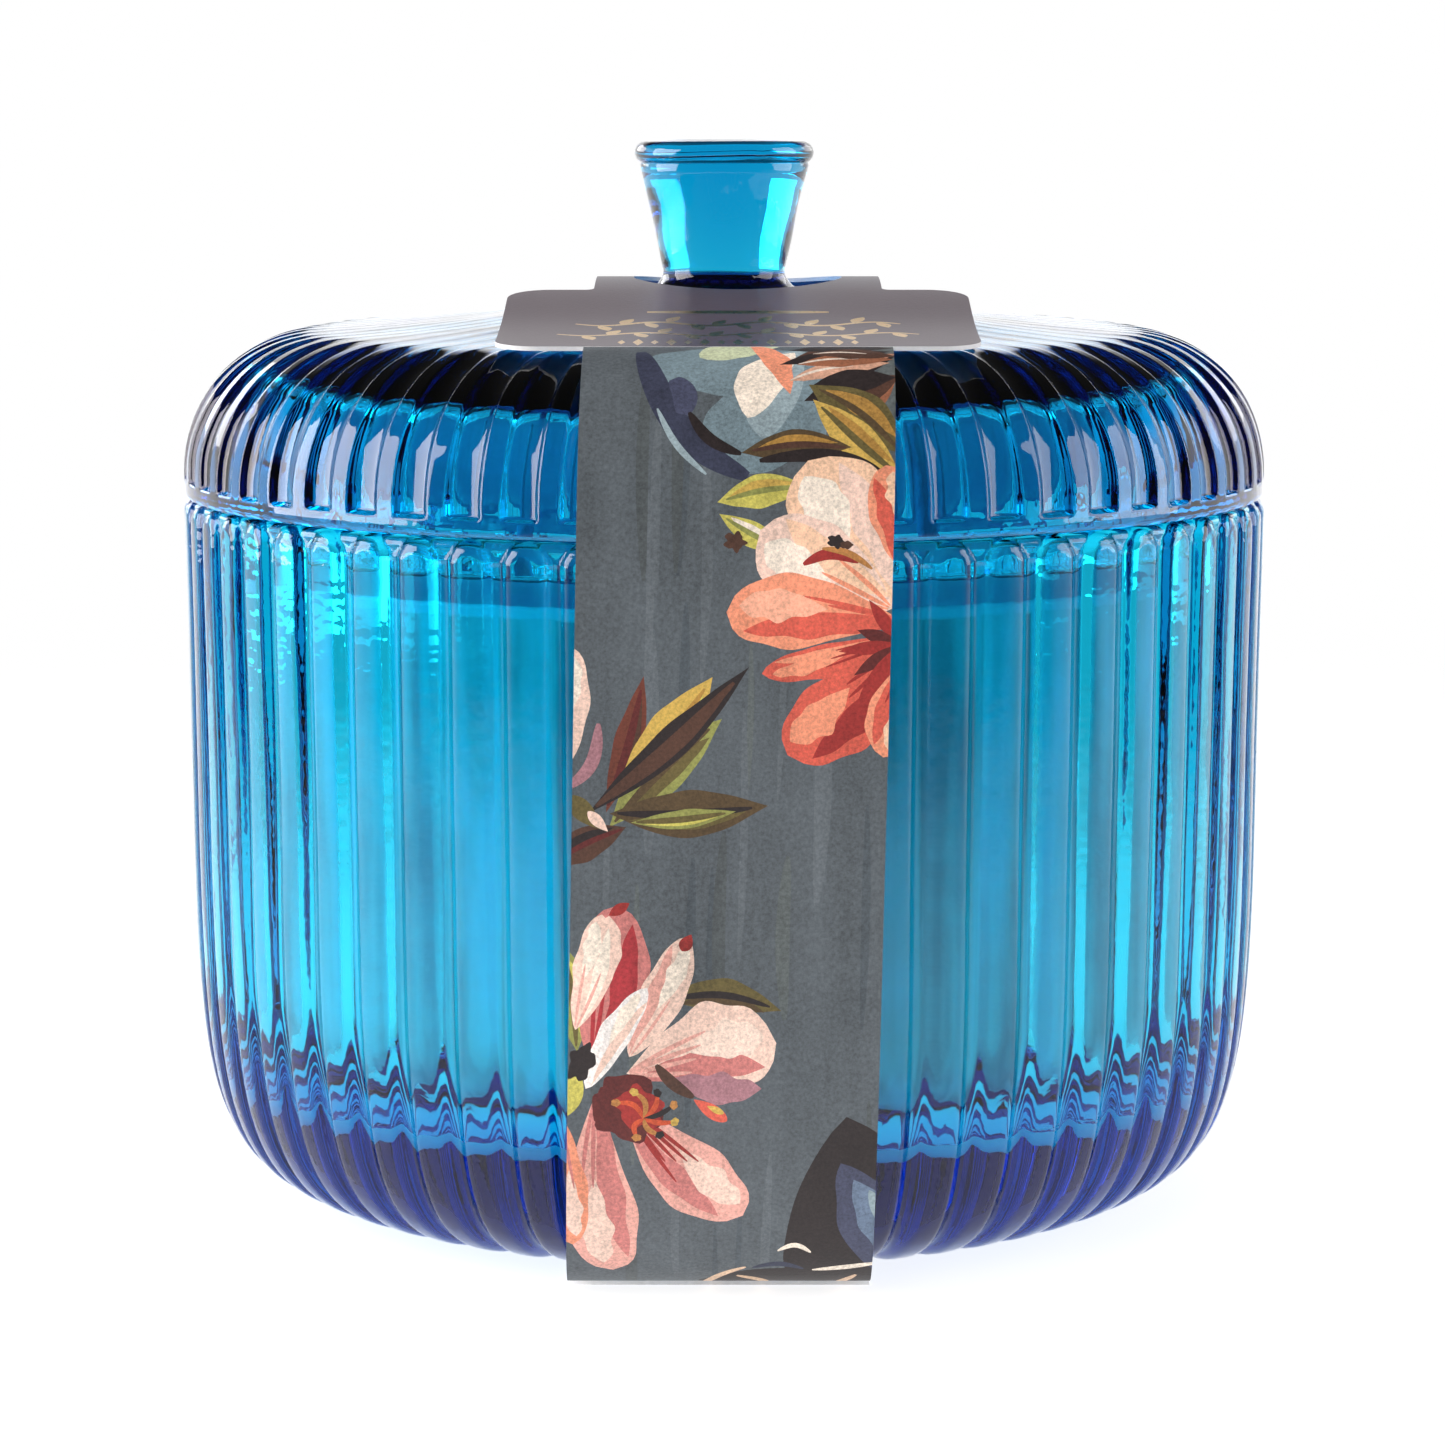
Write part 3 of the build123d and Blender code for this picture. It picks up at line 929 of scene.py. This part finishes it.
def painting(length):
    """The front panel's picture: a bloom at the top, a coral flower, leaves, a pink flower, a dark form."""
    art = []
    # long soft brush marks of the ground
    for k in range(34):
        u = rng.uniform(-13.5, 13.5)
        s = rng.uniform(0, length)
        tone = rng.choice([ink(78, 86, 92), ink(97, 104, 109), ink(80, 86, 88), ink(95, 102, 102)])
        art.append((stroke([(u, s - rng.uniform(6, 14)), (u + rng.uniform(-0.4, 0.4), s),
                            (u, s + rng.uniform(6, 14))], rng.uniform(0.5, 1.6)), tone))

    # pale bloom at the top, with a dusky edge
    art += [
        (petal((7.5, 2.0), (-8.8, 5.5), 8.0, 0.62, 0.3, -1.0, 0.06), MIST),
        (petal((9.0, 3.0), (-2.6, 16.0), 9.5, 0.60, 0.3, -1.2, 0.05), MIST),
        (stroke([(-8.6, 2.0), (-7.6, 6.5), (-6.2, 10.5), (-3.6, 14.2), (1.0, 17.0)], 2.5, 0.8), NAVY),
        (stroke([(-5.6, 7.0), (-4.6, 9.2), (-4.8, 11.2)], 2.2, 0.6), DUSK),
        (stroke([(-4.2, 11.0), (-2.4, 13.6), (0.4, 15.0)], 1.1), SOOT),
        (stroke([(-7.0, 10.6), (-5.2, 14.2), (-2.6, 16.8)], 0.6), HAZE),
        (petal((4.2, -1.0), (-3.4, 3.4), 4.4, 0.6, 0.2, 0.3, 0.06), ink(196, 204, 168)),
        (petal((5.8, 1.0), (2.2, 13.6), 5.6, 0.58, 0.3, 1.0, 0.04), HAZE),
        (petal((5.0, 2.2), (0.9, 11.6), 4.4, 0.55, 0.3, 0.8, 0.05), CREAM),
        (petal((1.0, -1.0), (4.6, 9.0), 2.4, 0.5, 0.6, -0.5, 0.06), APRICOT),
    ]
    # overlapping brown and dark blades behind it
    blades = [(14.5, -1.5), (14.2, 2.5), (14.6, 6.5)]
    tones = [UMBER, SOOT, ink(150, 94, 66), SOOT, ink(190, 132, 104), UMBER, SOOT, ink(206, 156, 130)]
    for k in range(15):
        root = toward(blades[k % 3], (12.0, 8.0), 0.12 * (k % 4))
        turn = math.radians(150 + 5.2 * k - 22 * (k % 3))
        reach = 11.0 - 0.25 * k
        tip = (root[0] + reach * math.cos(turn), root[1] + reach * 0.75 * math.sin(turn) + 1.0)
        art.append((petal(root, tip, 2.6, 0.5, 0.8, 0.5, 0.05), tones[k % len(tones)]))
        if k % 3 == 1:
            along = [toward(root, tip, t, aside) for t, aside in ((0.35, 0.5), (0.7, 0.7), (0.98, 0.1))]
            art.append((stroke(along, 0.34), ink(222, 206, 190)))
    # mustard and bronze leaves
    art += several(painted_leaf, [
        ((14.5, 15.0), (6.2, 7.8), 4.6, OLIVE, OCHRE, BRONZE, 0.5),
        ((14.4, 17.2), (6.6, 9.6), 3.4, MUSTARD, OCHRE, OLIVE, -0.3),
        ((10.0, 14.4), (0.4, 14.9), 2.9, BRONZE, OCHRE, UMBER, 0.5),
    ])
    art.append((stroke([(2.0, 15.6), (8.0, 15.2), (12.0, 16.6), (14.4, 18.8)], 1.3), SOOT))
    art += painted_leaf((6.2, 17.8), (-1.6, 19.2), 2.9, LIME, MUSTARD, MOSS, 0.3)
    art += painted_leaf((5.0, 23.6), (-1.4, 20.2), 2.2, LIME, CREAM, MOSS, -0.2)
    art.append((blob((0.0, 22.6), 0.9, 0.8, 20, 0.2), UMBER))

    # the coral flower, its heart at the right edge
    heart = (13.8, 28.5)
    art += several(painted_petal, [
        (heart, (6.2, 15.6), 9.4, PEACH, BLUSH, CREAM, APRICOT, 0.62, 0.6, 1, 0),
        (heart, (2.2, 21.6), 8.2, BLUSH, PEACH, CREAM, APRICOT, 0.60, -0.5, 1, 3),
        ((14.6, 25.0), (13.0, 16.0), 5.0, APRICOT, CORAL, PEACH, CORAL, 0.6, 0.4, -1, 2),
        ((14.6, 29.5), (-0.6, 28.8), 6.6, APRICOT, CORAL, ink(244, 176, 146), CORAL, 0.66, 0.4, -1, 5),
        ((14.8, 31.0), (2.6, 34.2), 2.9, CORAL, APRICOT, APRICOT, BRICK, 0.6, -0.3, 1, 3),
        ((15.0, 32.0), (5.0, 41.4), 7.2, CORAL, BRICK, APRICOT, BRICK, 0.62, -0.5, -1, 4),
        ((15.5, 33.0), (13.4, 41.6), 4.6, APRICOT, CORAL, PEACH, BRICK, 0.6, 0.2, 1, 3),
    ])
    for k, reach in enumerate((6.0, 4.6, 5.4, 4.2, 5.2)):
        turn = math.radians(118 + 27 * k)
        tip = (14.6 + reach * math.cos(turn), 31.6 - reach * math.sin(turn) + 1.4)
        art.append((petal((14.6, 31.6), tip, 1.2, 0.5, 0.8), MAROON if k % 2 else BRICK))
    art += [
        (stroke([(6.0, 24.6), (8.2, 23.7), (10.8, 24.4)], 1.0), BRICK),
        (stroke([(7.6, 23.2), (9.8, 23.6), (12.0, 25.0)], 0.6), AMBER),
        (blob((8.8, 22.6), 0.75, 0.55, 15, 0.15), SOOT),
        (blob((9.7, 22.9), 0.55, 0.35, 0, 0.1), UMBER),
    ]

    # a pink petal that runs off the left edge, and the leaf spray
    art += painted_petal((-16.5, 45.0), (-14.4, 31.6), 6.8, BLUSH, ROSE, CREAM, PINK, 0.55, -0.6, -1, 2)
    art.append((stroke([(-14.4, 44.4), (-12.4, 42.6), (-11.6, 38.6)], 1.2), MAUVE))
    art += several(painted_leaf, [
        ((-10.8, 46.5), (-7.7, 34.4), 2.6, ink(112, 58, 44), UMBER, MAROON, 0.3),
        ((-9.6, 43.6), (-1.7, 34.5), 4.2, MUSTARD, LIME, OCHRE, 0.6),
        ((-10.5, 47.8), (-0.8, 38.2), 4.2, MOSS, OLIVE, BRONZE, -0.4),
        ((-12.4, 46.6), (1.5, 33.6), 2.9, SOOT, UMBER, UMBER, 0.4),
        ((-10.5, 46.6), (3.4, 45.9), 4.2, BRONZE, OLIVE, SOOT, 0.4),
        ((-8.6, 47.4), (0.6, 46.4), 1.7, MOSS, LIME, OLIVE, 0.2),
        ((-9.0, 47.8), (-16.0, 51.4), 3.0, UMBER, SOOT, MAROON, 0.3),
    ])
    art.append((petal((-11.2, 48.0), (-14.2, 45.0), 1.8, 0.6, 0.3), OLIVE))
    art.append((petal((-10.6, 48.2), (-12.4, 46.4), 1.0, 0.6, 0.3), BLUSH))

    # the pink flower at the lower left
    art += painted_leaf((-5.6, 63.2), (5.0, 64.3), 3.0, OLIVE, BRONZE, SOOT, -0.9)
    art += painted_leaf((-13.0, 68.0), (-14.6, 58.0), 3.4, MOSS, LIME, OLIVE, 0.3)
    art += several(painted_petal, [
        ((-11.6, 69.5), (-9.6, 54.8), 6.4, ROSE, CRIMSON, BLUSH, CRIMSON, 0.60, 0.5, 1, 4),
        ((-13.2, 66.0), (-11.0, 55.6), 3.6, BLUSH, CREAM, CREAM, PINK, 0.58, 0.4, 1, 2),
        ((-8.4, 68.5), (-3.4, 57.6), 3.9, BLUSH, PINK, CREAM, PINK, 0.55, 0.3, -1, 2),
    ])
    art.append((petal((-3.9, 58.9), (-3.1, 57.4), 1.2, 0.4, 0.6), BRICK))
    art.append((petal((-10.4, 55.7), (-8.6, 54.6), 1.0, 0.5, 0.6), BRICK))
    art += painted_petal((-8.6, 70.0), (4.6, 67.2), 8.2, BLUSH, ROSE, ink(250, 222, 204), PINK,
                         0.66, -0.8, 1, 4)
    art.append((petal((-4.6, 70.4), (3.4, 71.4), 2.8, 0.55, 0.5, 0.5, 0.12), MAUVE))
    art += several(painted_petal, [
        ((-12.2, 71.4), (-6.9, 62.2), 2.8, ink(246, 238, 232), BLUSH, CREAM, BLUSH, 0.52, -0.3, 1, 0),
        ((-11.4, 72.2), (-9.6, 90.4), 6.6, PINK, ROSE, BLUSH, ROSE, 0.66, 0.5, -1, 4),
        ((-14.6, 73.5), (-13.2, 86.8), 4.2, APRICOT, PINK, BLUSH, ROSE, 0.6, 0.2, 1, 3),
        ((-8.8, 73.0), (2.0, 83.6), 6.6, PINK, ROSE, BLUSH, BRICK, 0.64, 0.5, 1, 5),
    ])
    art.append((petal((-11.4, 74.4), (-6.4, 70.6), 4.8, 0.5, 0.3, 0.0, 0.14), MAROON))
    art.append((blob((-8.4, 73.6), 3.0, 2.6, 20, 0.12), MAROON))
    art.append((blob((-7.4, 73.2), 2.2, 1.8, 35, 0.14), BRICK))
    for k in range(7):
        turn = math.radians(-150 + 42 * k)
        tip = (-7.0 + 2.9 * math.cos(turn), 73.8 + 2.2 * math.sin(turn))
        bend_at = (-7.0 + 1.5 * math.cos(turn + 0.35), 73.8 + 1.2 * math.sin(turn + 0.35))
        art.append((stroke([(-7.0, 74.2), bend_at, tip], 0.5), (FLAME, AMBER, FLAME, SOOT)[k % 4]))
        art.append((blob(tip, 0.42, 0.34, 30 * k), (AMBER, MUSTARD, SOOT)[k % 3]))
    art += [
        (stroke([(-6.0, 69.2), (-4.6, 70.8), (-2.6, 72.2)], 1.1), UMBER),
        (petal((-2.6, 72.4), (0.4, 74.4), 1.3, 0.6, 0.2), CORAL),
        (petal((-1.4, 73.0), (0.1, 73.7), 0.6, 0.6, 0.2), MUSTARD),
        (petal((-12.8, 70.0), (-14.6, 74.2), 2.4, 0.5, 0.3), LIME),
        (blob((-12.6, 69.0), 1.1, 1.7, 20, 0.15), SOOT),
    ]

    # the dark form that runs off the lower right corner
    art += [
        (petal((16.0, 104.0), (11.0, 74.0), 17.0, 0.52, 0.5, 1.0, 0.02), SOOT),
        (petal((17.0, 103.0), (-1.8, 93.0), 13.0, 0.62, 0.3, 0.4, 0.03), SOOT),
        (petal((16.5, 92.0), (10.6, 78.4), 6.4, 0.5, 0.5, 0.6, 0.05), DUSK),
        (petal((16.0, 89.0), (11.8, 80.0), 3.6, 0.5, 0.5, 0.4, 0.05), STEEL),
        (petal((15.6, 85.5), (13.2, 81.0), 1.6, 0.5, 0.4), HAZE),
        (stroke([(5.2, 87.6), (6.8, 86.9), (8.2, 87.8)], 0.55), CREAM),
        (stroke([(8.4, 90.4), (11.4, 89.9), (14.4, 89.2)], 0.7), CREAM),
        (stroke([(3.0, 97.0), (-0.9, 95.0), (0.0, 91.6), (2.4, 89.9)], 0.85), ink(226, 190, 160)),
        (stroke([(3.6, 97.0), (3.8, 93.2), (1.6, 91.6)], 1.0), ink(214, 178, 146)),
        (stroke([(13.6, 97.0), (11.2, 94.4), (12.4, 91.4)], 1.0), ink(226, 190, 160)),
        (stroke([(3.0, 90.0), (5.4, 89.4), (7.6, 90.2)], 0.7), NAVY),
    ]
    return art


def ornament():
    """Foil shapes for the label: two vine rows with leaves, a row of lozenges and a short rule."""
    shapes = []
    vine_wave, leaf_reach = 0.95, 2.9
    for s, reach, waves in ((8.6, 16.5, 3), (14.6, 15.0, 3)):
        us = np.linspace(-reach, reach, 15)
        vine = [(u, s + vine_wave * math.sin(u / reach * waves * math.pi)) for u in us]
        shapes.append(stroke(vine, 0.80, 0.7, 90))
        for k, (u, at) in enumerate(vine[1:-1]):
            lean = 1.0 if k % 2 else -1.0
            shapes.append(petal((u, at), (u + 1.0, at + lean * leaf_reach), 1.2, 0.5, 0.6, 0.15))
    middle = 3.1
    for k in range(15):
        u = -10.5 + 1.5 * k
        half, tall = (0.50, 2.3) if k % 2 else (0.36, 1.5)
        shapes.append([(u - half, middle), (u, middle - tall), (u + half, middle), (u, middle + tall)])
    shapes.append(stroke([(-8.5, 20.2), (0, 20.2), (8.5, 20.2)], 1.3, 0.6))
    white = (1, 1, 1)
    return [(shape, white) for shape in shapes]


def panel_cuts(length):
    """Where a long panel may bend: close together over the shoulder and round the base corner."""
    shoulder_end, corner_start = 24, 58
    shoulder = np.arange(0.8, shoulder_end, 0.8)
    side = np.arange(shoulder_end, corner_start, 4.0)
    return [*shoulder, *side, *np.arange(corner_start, length, 1.2)]


def make_long_panel(side, name, body, node, shapes, print_material, white_material):
    line_points = [(side * y, z) for y, z in long_path()]
    path = Path(line_points)
    half = STRIP_W / 2
    turned = 1 if side > 0 else -1

    def place(u, s, lift):
        y, z = path.at(s, lift * turned)
        return np.stack([u * -turned + skew(z), y, z], axis=1)

    outline = [(-half, 0.0), (half, 0.0), (half, path.length), (-half, path.length)]
    piece = card_mesh(name, outline, None, shapes, panel_cuts(path.length), place, SLATE)
    for material in (print_material, white_material):
        piece.data.materials.append(material)
    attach(piece, body)
    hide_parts(node)


def make_label(print_material, white_material, foil):
    path = label_path()
    half, wing = STRIP_W / 2, LABEL_W / 2
    wing_end_y, corner, hole_r = -10.4, 4.0, 10.2
    inner = 0.8       # radius where a wing runs into the strip
    wing_end = float(np.interp(wing_end_y, path.points[:, 0], path.s))

    def place(u, s, lift):
        y, z = path.at(s, lift)
        return np.stack([u + skew(z), y, z], axis=1)

    outline = [(-half, path.length), (-half, wing_end + inner)]
    outline += arc((-half - inner, wing_end + inner), inner, 0, -90, 5)
    outline += arc((-wing + corner, wing_end - corner), corner, 90, 180, 9)
    outline += arc((-wing + corner, corner), corner, 180, 270, 9)
    outline += arc((wing - corner, corner), corner, 270, 360, 9)
    outline += arc((wing - corner, wing_end - corner), corner, 0, 90, 9)
    outline += arc((half + inner, wing_end + inner), inner, 270, 180, 5)
    outline += [(half, path.length)]
    hole = arc((0, path.length / 2), hole_r, 0, 352.5, 48)
    cuts = list(np.arange(1.5, path.length, 1.5))
    piece = card_mesh("label_card", outline[::-1], hole, ornament(), cuts, place, PLUM, slot=2)
    for material in (print_material, white_material, foil):
        piece.data.materials.append(material)
    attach(piece, "label_panel")
    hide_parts("label_panel")


def make_base(print_material, white_material):
    half, reach = STRIP_W / 2, high("base_panel").y

    def place(u, s, lift):
        return np.stack([u + skew(0), s, CARD / 2 - lift + 0 * u], axis=1)

    outline = [(-half, -reach), (half, -reach), (half, reach), (-half, reach)]
    piece = card_mesh("base_card", outline, None, [], [], place, SLATE)
    for material in (print_material, white_material):
        piece.data.materials.append(material)
    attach(piece, "jar")
    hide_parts("base_panel")


# ---------------------------------------------------------------- stage, lights and camera
def make_stage():
    """A pale floor that fades into the white surroundings."""
    n = Material("studio_floor")
    cloud = n.noise(3, 2.0)
    n.tone(cloud, [(0.3, (0.30, 0.30, 0.31)), (0.7, (0.33, 0.33, 0.34))])
    n.set(Roughness=0.7, Emission_Strength=0.86, Emission_Color=(1, 1, 1, 1))
    away = n.add("ShaderNodeVectorMath", operation="LENGTH")
    n.link(n.place(), away.inputs[0])
    n.clear_where(n.step(away.outputs["Value"], 0.16, 0.42))
    mesh = bpy.data.meshes.new("studio_floor")
    floor_r = 0.45
    turns = np.linspace(0, 2 * math.pi, 72, endpoint=False)
    edge = [(floor_r * math.cos(a), floor_r * math.sin(a), 0) for a in turns]
    mesh.from_pydata(edge, [], [tuple(range(len(edge)))])
    floor = bpy.data.objects.new("studio_floor", mesh)
    floor.data.materials.append(n.material)
    bpy.context.collection.objects.link(floor)


def make_world():
    """White to the camera. To the glass, a bright wall behind and a dark room above and in front."""
    world = bpy.data.worlds.new("studio")
    bpy.context.scene.world = world
    world.use_nodes = True
    n = Nodes(world.node_tree)
    towards = n.split(n.add("ShaderNodeTexCoord").outputs["Generated"])
    behind = n.step(towards["Y"], 0.05, 0.40)
    under_top = n.math("SUBTRACT", 1.0, n.step(towards["Z"], 0.28, 0.50))
    ground = n.step(n.math("MULTIPLY", towards["Z"], -1.0), 0.0, 0.12)
    ground = n.math("MULTIPLY", ground, n.step(towards["Y"], -0.6, 0.1))
    wall = n.math("MAXIMUM", n.math("MULTIPLY", behind, under_top), n.math("MULTIPLY", ground, 0.8))
    path = n.add("ShaderNodeLightPath").outputs
    reflected = n.math("SUBTRACT", path["Is Glossy Ray"], path["Is Transmission Ray"])
    reflected = n.math("MAXIMUM", reflected, 0.0)
    gain = n.math("ADD", n.math("MULTIPLY", reflected, 0.50), 0.84)
    level = n.math("ADD", n.math("MULTIPLY", wall, gain), 0.05)
    back = n.tree.nodes["Background"]
    n.link(n.math("MAXIMUM", level, path["Is Camera Ray"]), back.inputs["Strength"])
    back.inputs["Color"].default_value = (1.0, 1.0, 1.0, 1)


LAMP_AIM = Vector((0, 0, 0.05))


def soft_lamp(name, place, size, power, colour=(1, 1, 1), glossy=True):
    """An area lamp aimed at the candle; a glossy one also shows in the glass."""
    light = bpy.data.lights.new(name, "AREA")
    light.shape = "RECTANGLE"
    light.size, light.size_y = size
    light.energy = power
    light.color = colour
    lamp = bpy.data.objects.new(name, light)
    lamp.location = place
    lamp.rotation_euler = (LAMP_AIM - Vector(place)).to_track_quat("-Z", "Y").to_euler()
    lamp.visible_glossy = glossy
    lamp.visible_transmission = glossy
    lamp.visible_camera = False
    bpy.context.collection.objects.link(lamp)


def make_lights():
    soft_lamp("key_front", (-0.55, -0.85, 0.7), (0.9, 0.7), 7.0, glossy=False)
    soft_lamp("fill_front", (0.6, -0.8, 0.5), (0.9, 0.7), 1.1, glossy=False)
    soft_lamp("top", (0, 0.1, 1.1), (1.2, 1.2), 4, glossy=False)
    soft_lamp("left_box", (-0.8, -0.06, 0.27), (0.62, 0.62), 8.5, (1.0, 0.93, 0.92))
    soft_lamp("left_high", (-0.6, 0.75, 0.32), (0.5, 0.3), 1.6)
    soft_lamp("right_high", (0.6, 0.75, 0.32), (0.5, 0.3), 0.7)
    soft_lamp("right_box", (0.8, -0.02, 0.27), (0.5, 0.6), 3.6, (1.0, 0.94, 0.93))


def make_camera():
    """The photograph's viewpoint, in metres: a little above the lid, looking slightly down."""
    camera = bpy.data.cameras.new("camera")
    camera.lens = 111.3
    camera.sensor_width = 36
    camera.clip_start, camera.clip_end = 0.01, 20
    view = bpy.data.objects.new("camera", camera)
    view.location = (-0.00015, -0.4399, 0.1101)
    view.rotation_euler = (math.radians(81.70), 0, 0)
    bpy.context.collection.objects.link(view)
    bpy.context.scene.camera = view


# ---------------------------------------------------------------- the whole scene
bpy.context.scene.view_settings.view_transform = "Standard"
make_camera()
make_stage()
make_world()
make_lights()

make_jar()
make_lid()
make_wax()
cotton = cotton_material()
for number in (1, 2, 3):
    make_wick(number, cotton)

canvas = printed_material("canvas_print", 1.3, 0.55)
plum_print = printed_material("plum_print", 0.18, 0.38)
white_card = paper_material("white_card", (0.80, 0.79, 0.77), (0.90, 0.89, 0.87), 0.7)
gold = foil_material()
picture = painting(Path(long_path()).length)
make_long_panel(-1, "front_card", "front_panel", "front_panel", picture, canvas, white_card)
make_long_panel(1, "back_card", "back_panel", "back_panel", picture, canvas, white_card)
make_label(plum_print, white_card, gold)
make_base(canvas, white_card)

tin, pad = tin_material(), pad_material()
sticker = paper_material("base_sticker", (0.74, 0.73, 0.70), (0.84, 0.83, 0.80), 0.5)
finishes = {"wick_sustainer_1": tin, "wick_sustainer_2": tin, "wick_sustainer_3": tin,
            "wick_pad_1": pad, "wick_pad_2": pad, "wick_pad_3": pad, "base_label": sticker}
for node, material in finishes.items():
    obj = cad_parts[node]
    for slot in obj.material_slots:
        slot.material = material
